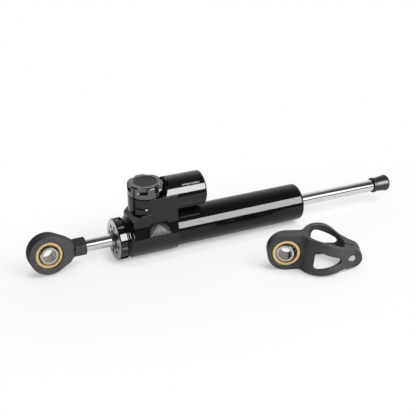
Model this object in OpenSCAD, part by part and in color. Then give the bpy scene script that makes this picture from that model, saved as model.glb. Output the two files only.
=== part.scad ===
// Motorcycle steering damper with a through rod, a needle adjuster, a piggyback reservoir
// and a loose tube clamp laid in front of it.
// Millimetres. Origin at the centre of the rod end's ball, +X along the rod to the rubber cap,
// +Z up to the adjuster knob, -Y towards the loose clamp.

/* [Rod] */
// Diameter of the rod
rod_d = 10; // [8:0.5:11]
// Rod in the open between the lock nut and the front gland
rod_shown_front = 24; // [12:1:60]
// Rod in the open between the tube and the rubber cap
rod_shown_rear = 74.3; // [30:0.1:110]
// Stroke left for the rod to move towards the rubber cap
stroke_in = 22; // [8:1:40]
// Length of the piston
piston_len = 12; // [10:0.5:20]

/* [Rod end] */
// Outside diameter of the rod eye
eye_d = 31; // [28:0.5:40]
// Width of the rod eye along its bore
eye_w = 11; // [10:0.5:16]
// Turn of the rod end about the rod, as it lies at rest
eye_roll = 5.8; // [0:0.1:12]
// Distance from the eye's centre to the lock nut
eye_reach = 20; // [19:0.5:30]
// Height of the eye's neck where it meets the lock nut
neck_d = 13.6; // [13:0.2:18]
// Size of the lock nut across its flats
nut_af = 14; // [13:0.5:18]
// Length of the lock nut
nut_len = 9.5; // [5:0.5:14]

/* [Spherical bearings] */
// Bore of each ball
ball_bore = 10; // [6:0.5:12]
// Diameter of each ball
ball_d = 18; // [16:0.5:18.5]
// Width of each ball along its bore
ball_w = 12; // [10:0.5:13]
// Outside diameter of each race
race_d = 22; // [21:0.5:24]
// Width of each race
race_w = 9.6; // [8:0.2:10]
// Thickness of the liner between ball and race
liner_t = 0.6; // [0.4:0.1:0.8]

/* [Rubber cap] */
// Largest diameter of the rubber cap
cap_d = 14; // [13:0.2:20]
// Diameter of the cap's waist behind its lip
cap_waist_d = 11.8; // [11.4:0.1:12.6]
// Length of the rubber cap
cap_len = 15.9; // [14:0.1:26]

/* [Cylinder] */
// Bore that the piston runs in
sleeve_bore = 18; // [17:0.5:24]
// Wall of the inner sleeve
sleeve_wall = 1.2; // [1:0.1:2]
// Gap between the inner sleeve and the tube, for the oil that flows back
annulus = 1.55; // [1:0.05:3]
// Wall of the tube
tube_wall = 3.4; // [2.8:0.1:5]
// Length of the tube behind the head
tube_len = 113.4; // [105:0.1:160]
// Radius of the tube's rounded rear edge
tube_edge_r = 2.4; // [0.5:0.1:2.4]
// Length of the rear gland
rear_gland_len = 15.6; // [14:0.2:24]

/* [Head] */
// Step from the tube out to the head
head_step = 1.5; // [0.8:0.05:3]
// Length of the head from the gland to the tube
head_len = 42.2; // [40:0.2:60]
// Length of the gland's flange
gland_len = 7; // [6:0.2:12]
// Number of spanner pockets round the gland
gland_pockets = 8; // [4:1:10]
// Depth of the spanner pockets
pocket_depth = 2; // [1:0.1:2.4]
// Number of holes in the gland's end face
gland_holes = 8; // [4:1:10]
// Length of the grooved neck between gland and block
neck_len = 5; // [4:0.2:9]

/* [Valve block] */
// Width of the block, and diameter of the boss and of the reservoir
block_w = 28; // [26:0.5:31]
// Gap between the tube and the underside of the boss
boss_gap = 7.35; // [7:0.05:14]
// Height of the boss
boss_h = 12.5; // [11.5:0.5:20]
// Distance from the front of the head to the knob's axis
knob_inset = 20.5; // [19:0.5:24]
// Length of the scallop milled in each side of the block
scallop_len = 15; // [8:0.5:22]
// Depth of the scallop
scallop_depth = 3; // [1:0.1:4]

/* [Reservoir] */
// Distance from the knob's axis to the reservoir's far end
reservoir_reach = 47; // [44:0.5:80]
// Height of the reservoir's top above the boss
reservoir_rise = 10; // [8:0.25:13]
// Wall of the reservoir
reservoir_wall = 3; // [2.4:0.1:4]
// Depth of the reservoir's bore
reservoir_depth = 23.5; // [22:0.5:26]
// Length of the floating piston
float_len = 6; // [5:0.5:8]
// Length of the reservoir's cap
lid_len = 6.5; // [5.5:0.5:8]
// Length of the slots milled in the reservoir
slot_len = 15.5; // [6:0.5:18]

/* [Adjuster] */
// Diameter of the knob
knob_d = 28.1; // [24:0.1:31]
// Height of the knob
knob_h = 9.8; // [9:0.2:14]
// Number of flutes round the knob
knob_flutes = 6; // [4:1:16]
// Diameter of the spindle
spindle_d = 8; // [7:0.2:9]
// Length of the adjuster housing inside the boss
housing_len = 10.5; // [9.5:0.5:11.5]

/* [Tube clamp] */
// Outside diameter of the clamp's eye
clamp_eye_d = 29.5; // [28:0.5:38]
// Width of the clamp's eye along its bore
clamp_eye_w = 10; // [9.8:0.2:14]
// Distance from the eye's centre to the tube's centre
clamp_reach = 29.5; // [29:0.5:36]
// Wall of the clamp's band
clamp_wall = 3.2; // [2.5:0.1:5]
// Height of the band round the tube
clamp_band_h = 28.6; // [24:0.2:32]
// Distance from the tube's centre to the clamp screw
clamp_screw_reach = 20.8; // [19.5:0.1:26]
// Diameter of the clamp screw
clamp_screw_d = 6; // [4:0.5:6]
// Width of the slit between the clamp's lugs
clamp_slit = 2.6; // [1:0.1:4]
// Place of the clamp's eye along the damper
clamp_x = 170; // [140:0.2:200]
// Place of the clamp's eye in front of the damper
clamp_y = -67.4; // [-110:0.2:-60]
// Turn of the clamp about the vertical
clamp_yaw = -22; // [-60:1:60]
// Tip of the clamp down towards its screw
clamp_tip = 5.2; // [0:0.1:15]
// Tilt of the ball that lies in the clamp's eye
clamp_ball_tilt = -11; // [-12:0.5:12]

/* [Fits] */
// Radial clearance of a shaft that runs in a bush or of a ball in its liner
running_gap = 0.05; // [0.02:0.01:0.1]
// Radial clearance of pieces that are screwed or pressed together
seat_gap = 0.03; // [0.01:0.01:0.1]
// Clearance of moving pieces that never touch
free_gap = 0.4; // [0.3:0.05:0.8]

/* [Hidden] */
$fn = 64;
cut = 1;

rod_r = rod_d / 2;
eye_r = eye_d / 2;
race_r = race_d / 2;
ball_r = ball_d / 2;
liner_in_r = ball_r + running_gap;
liner_out_r = liner_in_r + liner_t;
race_in_r = liner_out_r + running_gap;
race_chamfer = 0.5;
liner_w = race_w - 1;

// Radii of the cylinder, worked out from the piston's bore outwards
sleeve_r = sleeve_bore / 2;
sleeve_out_r = sleeve_r + sleeve_wall;
tube_bore_r = sleeve_out_r + annulus;
tube_r = tube_bore_r + tube_wall;
head_r = tube_r + head_step;
floor_z = -head_r;

// Places along the rod
nut_x0 = eye_reach;
nut_x1 = nut_x0 + nut_len;
gland_x0 = nut_x1 + rod_shown_front;
gland_x1 = gland_x0 + gland_len;
head_x1 = gland_x1 + head_len;
tube_x1 = head_x1 + tube_len;
cap_x0 = tube_x1 + rod_shown_rear;
cap_x1 = cap_x0 + cap_len;
knob_x = gland_x1 + knob_inset;

// Front gland
bush_wall = 1.5;
bush_out_r = rod_r + running_gap + bush_wall;
seal_h = 3;
seal_r = rod_r + seal_h;
gland_thread_wall = 3.1;
gland_thread_r = head_r - gland_thread_wall;
gland_nose_r = tube_bore_r - seat_gap;
spigot_r = sleeve_r - seat_gap;
spigot_len = 3;
gland_thread_x1 = knob_x - 7;
sleeve_x0 = knob_x + 3;
wiper_len = 3.5;
seal_len = 4;
front_seal_x0 = gland_x1 + 2;
front_bush_x0 = front_seal_x0 + seal_len + 2;
front_bush_x1 = sleeve_x0 + spigot_len;
port_d = 1.2;
port_groove_w = 3;
port_groove_r = (bush_out_r + spigot_r) / 2;
face_hole_d = 2.6;
face_hole_r = seal_r + 2.4;
pocket_rim = 1;
pocket_share = 0.42;
edge_chamfer = 0.7;
gland_chamfer = 0.8;

// Rubber O-rings and the grooves that hold them
o_ring_depth = 1.6;
o_ring_gap = 0.04;
groove_room = 0.5;

// Tube and rear gland
tube_spigot_step = 0.9;
tube_spigot_len = 8.7;
tube_spigot_r = tube_r - tube_spigot_step;
tube_spigot_x0 = head_x1 - tube_spigot_len;
tube_o_ring_depth = 1;
tube_o_ring_x = (tube_spigot_x0 + head_x1) / 2;
clip_t = 1.4;
clip_depth = 0.9;
clip_w = 1.9;
clip_opening = 5;
end_recess = 2.5;
rear_gland_x1 = tube_x1 - end_recess - clip_t;
rear_gland_x0 = rear_gland_x1 - rear_gland_len;
rear_spigot_x0 = rear_gland_x0 - spigot_len;
rear_wiper_x0 = rear_gland_x1 - wiper_len;
rear_seal_x0 = rear_wiper_x0 - 1 - seal_len;
rear_bush_x1 = rear_seal_x0 - 1;
pin_hole_d = 1.6;
return_hole_d = 1.8;
bump_gap = 2;

// Piston on the rod
piston_x1 = rear_spigot_x0 - bump_gap - stroke_in;
piston_x0 = piston_x1 - piston_len;
piston_r = sleeve_r - free_gap;
ring_w = 3;
ring_gap = 0.06;
ring_in_r = sleeve_r - 1.7;
piston_clip_t = 1.2;
piston_clip_depth = 0.6;
piston_clip_h = 1.6;

// Rod in its eye and in the rubber cap
rod_x0 = race_r + 2;
cap_bore_len = 12;
rod_x1 = cap_x0 + cap_bore_len;
rod_chamfer = 0.6;
eye_cone = 0.9;
cap_lip = 2.2;
cap_lip_r = 6.5;
cap_dome = 2.6;

// Valve block
block_r = block_w / 2;
boss_z0 = tube_r + boss_gap;
boss_z1 = boss_z0 + boss_h;
block_x0 = gland_x1 + neck_len;
block_x1 = head_x1 - 0.1;
notch_rise = 4.5;
notch_run = 7.2;
foot_z0 = 4;
foot_z1 = 13;
foot_meet_z = 5;
foot_slope = (sqrt(pow(head_r, 2) - pow(foot_meet_z, 2)) - block_r) / (foot_z1 - foot_meet_z);
foot_half_w = block_r + foot_slope * (foot_z1 - foot_z0);
corner_run = 9;
corner_depth = 5;
neck_land = 0.4;
neck_floor_w = 0.5;
neck_depth = 1.7;
scallop_r = (pow(scallop_len / 2, 2) + pow(scallop_depth, 2)) / (2 * scallop_depth);
scallop_x = knob_x + 5.8;
scallop_top = foot_z1 + 1.5;
mark_len = 6;
mark_w = 1.1;
mark_depth = 1.4;
mark_x1 = knob_x - 4.8;
mark_z = boss_z0 + 5.1;
index_pin_d = 1.8;
index_pin_len = 4;

// Reservoir
reservoir_r = block_r;
reservoir_z = boss_z1 + reservoir_rise - reservoir_r;
reservoir_x1 = knob_x + reservoir_reach;
reservoir_bore_r = reservoir_r - reservoir_wall;
reservoir_bore_x0 = reservoir_x1 - reservoir_depth;
reservoir_edge_r = 1.8;
knob_relief = 4;
lid_recess = 1.3;
lid_clip_t = 1.2;
lid_x1 = reservoir_x1 - lid_recess - lid_clip_t;
lid_x0 = lid_x1 - lid_len;
float_x0 = (reservoir_bore_x0 + lid_x0 - float_len) / 2;
float_wall = 2.4;
slot_w = 1.3;
slot_depth = 0.8;
slot_setback = 26.8;
slot_x0 = knob_x + slot_setback;
slot_angles = [45, 90, 135];
charge_screw_d = 5;
charge_head_d = 8;
charge_head_t = 1.6;
charge_len = 5;
charge_socket_af = 2.5;

// Adjuster
knob_r = knob_d / 2;
knob_z0 = boss_z1 + free_gap;
knob_z1 = knob_z0 + knob_h;
knob_skirt = 4.5;
flute_r = 6.5;
flute_depth = 2.4;
knob_edge = 1;
dish_wall = 4.2;
dish_depth = 0.6;
spindle_r = spindle_d / 2;
collar_step = 1.3;
collar_r = spindle_r + collar_step;
housing_bore_r = collar_r + 0.3;
housing_wall = 1.4;
housing_r = housing_bore_r + housing_wall;
housing_z0 = boss_z1 - housing_len;
housing_flange_w = 2.5;
housing_flange_t = 1.6;
housing_flange_r = housing_r + housing_flange_w;
collar_z1 = boss_z1 - 4;
collar_t = 2.1;
collar_z0 = collar_z1 - collar_t;
spindle_z1 = knob_z1 - 2.7;
stud_r = 1.95;
stud_len = 4.5;
spindle_o_ring_z = boss_z1 - 1.4;
spindle_o_ring_depth = 0.95;
housing_o_ring_z = housing_z0 + 1.5;
housing_o_ring_depth = 0.85;
needle_r = collar_r;
needle_head_len = 5.5;
needle_z1 = collar_z0 - 0.7;
needle_z0 = needle_z1 - needle_head_len;
needle_stem_r = 2.2;
needle_tip_r = 0.5;
needle_tip_len = 5.5;
needle_stem_len = 2.6;
guide_pin_d = 1.6;
guide_pin_z = housing_z0 + 3.2;
guide_slot_depth = 1.6;
chamber_r = housing_bore_r;
seat_r = 1.8;
seat_z = needle_z0 - needle_stem_len - 3;
gallery_r = 1.4;
gallery_z = boss_z0 - 0.5;
annulus_port_x = (sleeve_x0 + tube_spigot_x0) / 2;
grub_d = 4;
grub_len = 6;
grub_socket_af = 2;
grub_z = (housing_z0 + housing_len + housing_flange_t + spindle_z1) / 2 + 0.6;

// Tube clamp, drawn with its eye's centre at the origin, its tube upright and its screw on +X
clamp_eye_r = clamp_eye_d / 2;
clamp_bore_r = tube_r;
clamp_band_r = clamp_bore_r + clamp_wall;
clamp_lug_r = 8.5;
clamp_lug_half_w = 6.8;
clamp_screw_x = clamp_reach + clamp_screw_reach;
clamp_fillet = 4.5;
clamp_fillet_y = clamp_eye_w / 2 + clamp_fillet;
clamp_fillet_x = clamp_reach
    - sqrt(pow(clamp_band_r + clamp_fillet, 2) - pow(clamp_fillet_y, 2));
clamp_band_rise = 2.3;
clamp_top_z = clamp_band_h / 2 + clamp_band_rise;
clamp_foot_z = clamp_band_h / 2 - clamp_band_rise;
clamp_z = floor_z + clamp_eye_r;
clamp_top_x0 = clamp_reach - 10.3;
clamp_top_x1 = clamp_screw_x - 4.5;
clamp_top_neck = clamp_lug_r + 0.9;
clamp_foot_x0 = clamp_reach - 12.5;
clamp_foot_x1 = clamp_screw_x - 6;
clamp_foot_neck = clamp_lug_r - 1.2;
clamp_side_steps = 10;
window_back = 9.5;
window_front = 12;
window_h = 16.2;
window_rise_near = 1;
window_rise_far = 4;
window_x0 = clamp_reach - window_back;
window_x1 = clamp_reach + window_front;
window_corner = 3;
window_tip = 3.6;
window_steps = 6;
screw_head_d = clamp_screw_d * 1.55;
screw_head_depth = 2.5;
screw_socket_af = clamp_screw_d * 0.65;

BLACK = "#1c1c1e";
SATIN = "#454545";
STEEL = "#c9ccd0";
CHROME = "#dfe2e6";
GOLD = "#c79a45";
BRONZE = "#a97b3c";
RUBBER = "#232323";
SEAL = "#3a3f36";
PTFE = "#e8e4d8";
GREY = "#8d8f92";

// Round bars along X, Y and Z, given by their ends
module x_bar(x0, x1, r, z = 0) translate([x0, 0, z]) rotate([0, 90, 0]) cylinder(h = x1 - x0, r = r);
module y_bar(x, z, y0, y1, r) translate([x, y1, z]) rotate([90, 0, 0]) cylinder(h = y1 - y0, r = r);
module z_bar(x, y, z0, z1, r) translate([x, y, z0]) cylinder(h = z1 - z0, r = r);

// Ring along X
module x_ring(x0, x1, r_out, r_in, z = 0) difference() {
    x_bar(x0, x1, r_out, z);
    x_bar(x0 - cut, x1 + cut, r_in, z);
}

// Groove turned in the outside of a piece on the X axis
module x_groove(x0, x1, r, r_bottom, z = 0) x_ring(x0, x1, r + cut, r_bottom, z);

// Radius of an O-ring's cord in a groove of the given depth
function cord_r(depth) = depth / 2 - o_ring_gap;

// Half the width of the groove for that cord
function groove_half(depth) = cord_r(depth) + groove_room / 2;

// O-ring round the X axis whose outside nearly reaches r, in a groove of the given depth
module x_o_ring(x, r, depth, z = 0) translate([x, 0, z]) rotate([0, 90, 0]) rotate_extrude()
    translate([r - depth / 2, 0]) circle(r = cord_r(depth));

module x_o_groove(x, r, depth, z = 0)
    x_groove(x - groove_half(depth), x + groove_half(depth), r, r - depth, z);

// Bar along X with both outer edges chamfered
module x_chamfered(x0, x1, r, c) translate([x0, 0, 0]) rotate([0, 90, 0]) rotate_extrude()
    polygon([[0, 0], [r - c, 0], [r, c], [r, x1 - x0 - c], [r - c, x1 - x0], [0, x1 - x0]]);

// Bar along X whose far edge is rounded
module x_rounded(x0, x1, r, edge, z = 0) translate([x0, 0, z]) rotate([0, 90, 0]) rotate_extrude() {
    square([r - edge, x1 - x0]);
    square([r, x1 - x0 - edge]);
    translate([r - edge, x1 - x0 - edge]) circle(r = edge);
}

// Point where a straight line from p touches a disc, on the side given by +1 or -1
function rim_touch(centre, r, p, side) =
    let (turn = atan2(p.y - centre.y, p.x - centre.x) + side * acos(r / norm(p - centre)))
    centre + r * polar(turn);

function polar(angle) = [cos(angle), sin(angle)];

// Upright plate round two discs, with straight sides that touch both
module link_plate(p, r, q, s, h) {
    run = norm(q - p);
    heading = atan2(q.y - p.y, q.x - p.x);
    swing = acos((r - s) / run);
    up = polar(heading + swing);
    down = polar(heading - swing);
    translate(p) cylinder(h = h, r = r);
    translate(q) cylinder(h = h, r = s);
    linear_extrude(h) polygon([p + r * up, q + s * up, q, q + s * down, p + r * down, p]);
}

// Snap ring on the X axis with its opening at the bottom
module x_snap_ring(x0, x1, r_out, r_in, z = 0) difference() {
    x_ring(x0, x1, r_out, r_in, z);
    translate([x0 - cut, -clip_opening / 2, z - r_out - cut])
        cube([x1 - x0 + 2 * cut, clip_opening, r_out]);
}

// Turns what is drawn upright in X and Y, and w high, to lie in X and Z, centred on Y
module y_plate(w) translate([0, w / 2, 0]) rotate([90, 0, 0]) children();

// Spherical bearing, centred on its ball, with its bore along Y
module y_turned() rotate([90, 0, 0]) rotate_extrude() children();

module race() color(GOLD) y_turned() difference() {
    polygon([
        [0, -race_w / 2], [race_r - race_chamfer, -race_w / 2], [race_r, race_chamfer - race_w / 2],
        [race_r, race_w / 2 - race_chamfer], [race_r - race_chamfer, race_w / 2], [0, race_w / 2]
    ]);
    circle(r = race_in_r);
}

module liner() color(PTFE) y_turned() difference() {
    intersection() {
        circle(r = liner_out_r);
        translate([0, -liner_w / 2]) square([ball_d, liner_w]);
    }
    circle(r = liner_in_r);
}

module ball() color(STEEL) y_turned() intersection() {
    circle(r = ball_r);
    translate([ball_bore / 2, -ball_w / 2]) square([ball_d, ball_w]);
}

// Places the clamp on the floor in front of the damper
module in_clamp() translate([clamp_x, clamp_y, clamp_z]) rotate([0, clamp_tip, clamp_yaw]) children();

// Head, milled block, boss and reservoir, machined from one piece
module valve_body() color(BLACK) difference() {
    union() {
        head_barrel();
        difference() {
            block();
            for (side = [-1, 1])
                z_bar(scallop_x, side * (block_r + scallop_r - scallop_depth), 0, scallop_top, scallop_r);
            block_corner();
        }
        difference() {
            x_rounded(knob_x, reservoir_x1, reservoir_r, reservoir_edge_r, reservoir_z);
            z_bar(knob_x, 0, boss_z0 - block_w, reservoir_z + block_w, knob_r + knob_relief);
        }
    }
    head_bores();
    adjuster_bores();
    reservoir_bores();
    reservoir_slots();
    index_mark();
}

// Round head with a vee groove behind the gland
module head_barrel() difference() {
    x_bar(gland_x1, head_x1, head_r);
    translate([gland_x1, 0, 0]) rotate([0, 90, 0]) rotate_extrude() polygon([
        [head_r, neck_land], [head_r + cut, neck_land], [head_r + cut, neck_len - neck_land],
        [head_r, neck_len - neck_land], [head_r - neck_depth, (neck_len + neck_floor_w) / 2],
        [head_r - neck_depth, (neck_len - neck_floor_w) / 2]
    ]);
}

module block() {
    block_foot();
    y_plate(block_w) linear_extrude(block_w) polygon([
        [block_x0, 0], [block_x1, 0], [block_x1, boss_z1], [knob_x, boss_z1], [knob_x, boss_z0],
        [block_x0 + notch_run, boss_z0], [block_x0, boss_z0 - notch_rise]
    ]);
    z_bar(knob_x, 0, boss_z0, boss_z1, block_r);
}

// Flared foot where the block's flat sides run out into the round head
module block_foot() translate([block_x0, 0, 0]) rotate([90, 0, 90])
    linear_extrude(block_x1 - block_x0) polygon([
        [-foot_half_w, foot_z0], [foot_half_w, foot_z0], [block_r, foot_z1], [-block_r, foot_z1]
    ]);

// Slanting cut that takes off the block's far front corner
module block_corner() translate([block_x0, block_r, -cut]) linear_extrude(boss_z1 + 2 * cut) polygon([
    [-corner_run / 4, -1.25 * corner_depth], [1.5 * corner_run, corner_depth / 2],
    [-corner_run / 4, corner_depth / 2]
]);

module head_bores() {
    x_bar(gland_x1 - cut, gland_thread_x1, gland_thread_r + seat_gap);
    x_bar(gland_x1, head_x1, tube_bore_r);
    x_bar(tube_spigot_x0, head_x1 + cut, tube_spigot_r + seat_gap);
}

module adjuster_bores() {
    z_bar(knob_x, 0, housing_z0, boss_z1 + cut, housing_r + seat_gap);
    z_bar(knob_x, 0, seat_z, housing_z0 + cut, chamber_r);
    z_bar(knob_x, 0, 0, seat_z + cut, seat_r);
    x_bar(knob_x, reservoir_bore_x0 + cut, gallery_r, gallery_z);
    z_bar(annulus_port_x, 0, 0, gallery_z, gallery_r);
}

module reservoir_bores() {
    x_bar(reservoir_bore_x0, reservoir_x1 + cut, reservoir_bore_r, reservoir_z);
    x_bar(lid_x1, lid_x1 + lid_clip_t, reservoir_bore_r + clip_depth, reservoir_z);
}

module reservoir_slots() for (angle = slot_angles) translate([slot_x0, 0, reservoir_z])
    rotate([angle - 90, 0, 0]) translate([0, 0, reservoir_r - slot_depth])
        link_plate([slot_w / 2, 0], slot_w / 2, [slot_len - slot_w / 2, 0], slot_w / 2, slot_depth + cut);

module index_mark() {
    translate([mark_x1 - mark_len, -block_r - cut, mark_z - mark_w / 2])
        cube([mark_len, mark_depth + cut, mark_w]);
    y_bar(mark_x1, mark_z, -block_r - cut, index_pin_len - block_r, index_pin_d / 2 + seat_gap);
}

module index_pin() color(STEEL)
    y_bar(mark_x1, mark_z, -block_r - 0.3, index_pin_len - block_r, index_pin_d / 2);

// Outer tube, with a spigot that screws into the head
module damper_tube() color(BLACK) difference() {
    union() {
        x_rounded(head_x1, tube_x1, tube_r, tube_edge_r);
        x_bar(tube_spigot_x0, head_x1 + cut, tube_spigot_r);
    }
    x_bar(tube_spigot_x0 - cut, tube_x1 + cut, tube_bore_r);
    x_bar(rear_gland_x1, rear_gland_x1 + clip_t, tube_bore_r + clip_depth);
    x_o_groove(tube_o_ring_x, tube_spigot_r, tube_o_ring_depth);
}

module tube_o_ring() color(RUBBER) x_o_ring(tube_o_ring_x, tube_spigot_r, tube_o_ring_depth);

// Working bore, with holes at its rear end that lead to the annulus
module inner_sleeve() color(GREY) difference() {
    x_ring(sleeve_x0, rear_gland_x0, sleeve_out_r, sleeve_r);
    for (angle = [0, 90])
        translate([rear_spigot_x0 - return_hole_d, 0, 0]) rotate([angle, 0, 0])
            cylinder(h = 4 * sleeve_bore, r = return_hole_d / 2, center = true);
}

// Castellated end piece that closes the head and guides the rod
module front_gland() color(BLACK) difference() {
    union() {
        x_chamfered(gland_x0, gland_x1, head_r, gland_chamfer);
        x_bar(gland_x1 - cut, gland_thread_x1, gland_thread_r);
        x_bar(gland_x1, sleeve_x0, gland_nose_r);
        x_bar(gland_x1, sleeve_x0 + spigot_len, spigot_r);
    }
    x_bar(gland_x0 - cut, front_bush_x1 + cut, rod_r + free_gap);
    x_bar(gland_x0 - cut, gland_x0 + wiper_len, seal_r);
    x_bar(front_seal_x0, front_seal_x0 + seal_len, seal_r);
    x_bar(front_bush_x0, front_bush_x1 + cut, bush_out_r + seat_gap);
    x_o_groove(gland_thread_x1 + 2.4, gland_nose_r, o_ring_depth);
    x_groove(knob_x - port_groove_w / 2, knob_x + port_groove_w / 2, gland_nose_r, port_groove_r);
    for (turn = [0 : 3]) rotate([90 * turn + 45, 0, 0])
        translate([0, 0, port_groove_r]) x_bar(knob_x, front_bush_x1 + cut, port_d / 2);
    for (turn = [0 : gland_pockets - 1]) rotate([(turn - 0.11) * 360 / gland_pockets, 0, 0])
        spanner_pocket();
    for (turn = [0 : gland_holes - 1]) rotate([(turn + 0.22) * 360 / gland_holes, 0, 0])
        translate([0, 0, face_hole_r]) x_bar(gland_x0 - cut, gland_x0 + gland_len / 2, face_hole_d / 2);
}

module spanner_pocket() {
    pocket_w = pocket_share * 2 * PI * head_r / gland_pockets;
    translate([gland_x0 + pocket_rim, -pocket_w / 2, head_r - pocket_depth])
        cube([gland_len - pocket_rim + cut, pocket_w, pocket_depth + cut]);
}

module gland_o_ring() color(RUBBER) x_o_ring(gland_thread_x1 + 2.4, gland_nose_r, o_ring_depth);

module front_bush() color(BRONZE) x_ring(front_bush_x0, front_bush_x1, bush_out_r, rod_r + running_gap);

// Lip seal with its open side towards the oil
module lip_seal(x0, open_to) difference() {
    x_ring(x0 + seat_gap, x0 + seal_len - seat_gap, seal_r - seat_gap, rod_r + running_gap);
    translate([open_to > 0 ? x0 + seal_len / 2 : x0 - cut, 0, 0])
        x_ring(0, seal_len / 2 + cut, rod_r + 0.62 * seal_h, rod_r + 0.38 * seal_h);
}

// Wiper with a raised lip round the rod on its outer side
module wiper(x0) x_ring(x0 + seat_gap, x0 + wiper_len - seat_gap, seal_r - seat_gap, rod_r + running_gap);

module front_rod_seal() color(SEAL) lip_seal(front_seal_x0, 1);
module front_wiper() color(RUBBER) wiper(gland_x0);

// Plug that closes the rear of the tube and guides the rod
module rear_gland() color(GREY) difference() {
    union() {
        x_bar(rear_gland_x0, rear_gland_x1, gland_nose_r);
        x_bar(rear_spigot_x0, rear_gland_x1, spigot_r);
    }
    x_bar(rear_spigot_x0 - cut, rear_gland_x1 + cut, rod_r + free_gap);
    x_bar(rear_spigot_x0 - cut, rear_bush_x1, bush_out_r + seat_gap);
    x_bar(rear_seal_x0, rear_seal_x0 + seal_len, seal_r);
    x_bar(rear_wiper_x0, rear_gland_x1 + cut, seal_r);
    x_o_groove((rear_gland_x0 + rear_gland_x1) / 2, gland_nose_r, o_ring_depth);
    for (side = [-1, 1])
        translate([0, side * (seal_r + gland_nose_r) / 2, 0])
            x_bar(rear_gland_x1 - wiper_len, rear_gland_x1 + cut, pin_hole_d / 2);
}

module rear_bush() color(BRONZE)
    x_ring(rear_spigot_x0, rear_bush_x1 - seat_gap, bush_out_r, rod_r + running_gap);
module rear_rod_seal() color(SEAL) lip_seal(rear_seal_x0, -1);
module rear_wiper() color(RUBBER) wiper(rear_wiper_x0);
module rear_gland_o_ring() color(RUBBER)
    x_o_ring((rear_gland_x0 + rear_gland_x1) / 2, gland_nose_r, o_ring_depth);
module rear_circlip() color(STEEL)
    x_snap_ring(rear_gland_x1 + seat_gap, rear_gland_x1 + clip_t - seat_gap,
                tube_bore_r + clip_depth - seat_gap, tube_bore_r + clip_depth - clip_w);

// Plug in the reservoir's far end, with a screw for the gas charge
module reservoir_cap() color(BLACK) difference() {
    x_bar(lid_x0, lid_x1, reservoir_bore_r - seat_gap, reservoir_z);
    x_o_groove((lid_x0 + lid_x1) / 2, reservoir_bore_r - seat_gap, o_ring_depth, reservoir_z);
    x_bar(lid_x0 - cut, lid_x1 + cut, charge_screw_d / 2 + seat_gap, reservoir_z);
    x_bar(lid_x1 - charge_head_t, lid_x1 + cut, charge_head_d / 2 + seat_gap, reservoir_z);
}

module reservoir_cap_o_ring() color(RUBBER)
    x_o_ring((lid_x0 + lid_x1) / 2, reservoir_bore_r - seat_gap, o_ring_depth, reservoir_z);

module reservoir_circlip() color(STEEL)
    x_snap_ring(lid_x1 + seat_gap, lid_x1 + lid_clip_t - seat_gap, reservoir_bore_r + clip_depth - seat_gap,
                reservoir_bore_r + clip_depth - clip_w, reservoir_z);

module charge_screw() color(STEEL) difference() {
    union() {
        x_bar(lid_x1 - charge_head_t, lid_x1, charge_head_d / 2, reservoir_z);
        x_bar(lid_x1 - charge_len, lid_x1, charge_screw_d / 2, reservoir_z);
    }
    translate([lid_x1 - charge_head_t, 0, reservoir_z]) rotate([0, 90, 0])
        cylinder(h = charge_head_t + cut, r = charge_socket_af / sqrt(3), $fn = 6);
}

// Cup that parts the oil from the gas
module floating_piston() color(GREY) difference() {
    x_bar(float_x0, float_x0 + float_len, reservoir_bore_r - running_gap, reservoir_z);
    x_bar(float_x0 + float_wall, float_x0 + float_len + cut,
          reservoir_bore_r - running_gap - o_ring_depth - float_wall, reservoir_z);
    x_o_groove(float_x0 + float_len / 2, reservoir_bore_r - running_gap, o_ring_depth, reservoir_z);
}

module floating_piston_o_ring() color(RUBBER)
    x_o_ring(float_x0 + float_len / 2, reservoir_bore_r - running_gap, o_ring_depth, reservoir_z);

// Flanged housing that screws into the boss and holds the spindle
module adjuster_housing() color(STEEL) difference() {
    union() {
        z_bar(knob_x, 0, housing_z0, boss_z1, housing_r);
        z_bar(knob_x, 0, boss_z1, boss_z1 + housing_flange_t, housing_flange_r);
    }
    z_bar(knob_x, 0, housing_z0 - cut, collar_z1 + running_gap, housing_bore_r);
    z_bar(knob_x, 0, housing_z0, boss_z1 + housing_flange_t + cut, spindle_r + running_gap);
    translate([knob_x, 0, housing_o_ring_z]) z_groove(housing_r, housing_o_ring_depth);
    y_bar(knob_x, guide_pin_z, 0, 2 * housing_r, guide_pin_d / 2 + seat_gap);
}

// Groove and O-ring round the Z axis
module z_groove(r, depth) difference() {
    cylinder(h = 2 * groove_half(depth), r = r + cut, center = true);
    cylinder(h = 4 * groove_half(depth), r = r - depth, center = true);
}

module z_o_ring(r, depth) rotate_extrude() translate([r - depth / 2, 0]) circle(r = cord_r(depth));

module housing_o_ring() color(RUBBER)
    translate([knob_x, 0, housing_o_ring_z]) z_o_ring(housing_r, housing_o_ring_depth);

module needle_guide_pin() color(STEEL)
    y_bar(knob_x, guide_pin_z, needle_r - guide_slot_depth + free_gap, housing_r, guide_pin_d / 2);

// Needle that slides in the housing, kept from turning by the guide pin
module needle() color(STEEL) difference() {
    union() {
        z_bar(knob_x, 0, needle_z0, needle_z1, needle_r);
        z_bar(knob_x, 0, needle_z0 - needle_stem_len, needle_z0 + cut, needle_stem_r);
        translate([knob_x, 0, needle_z0 - needle_stem_len - needle_tip_len])
            cylinder(h = needle_tip_len, r1 = needle_tip_r, r2 = needle_stem_r);
    }
    z_bar(knob_x, 0, collar_z0 - stud_len - 2 * free_gap, needle_z1 + cut, stud_r + running_gap);
    translate([knob_x - guide_pin_d / 2 - free_gap, needle_r - guide_slot_depth, needle_z0 - cut])
        cube([guide_pin_d + 2 * free_gap, guide_slot_depth + cut, needle_head_len + 2 * cut]);
}

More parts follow.
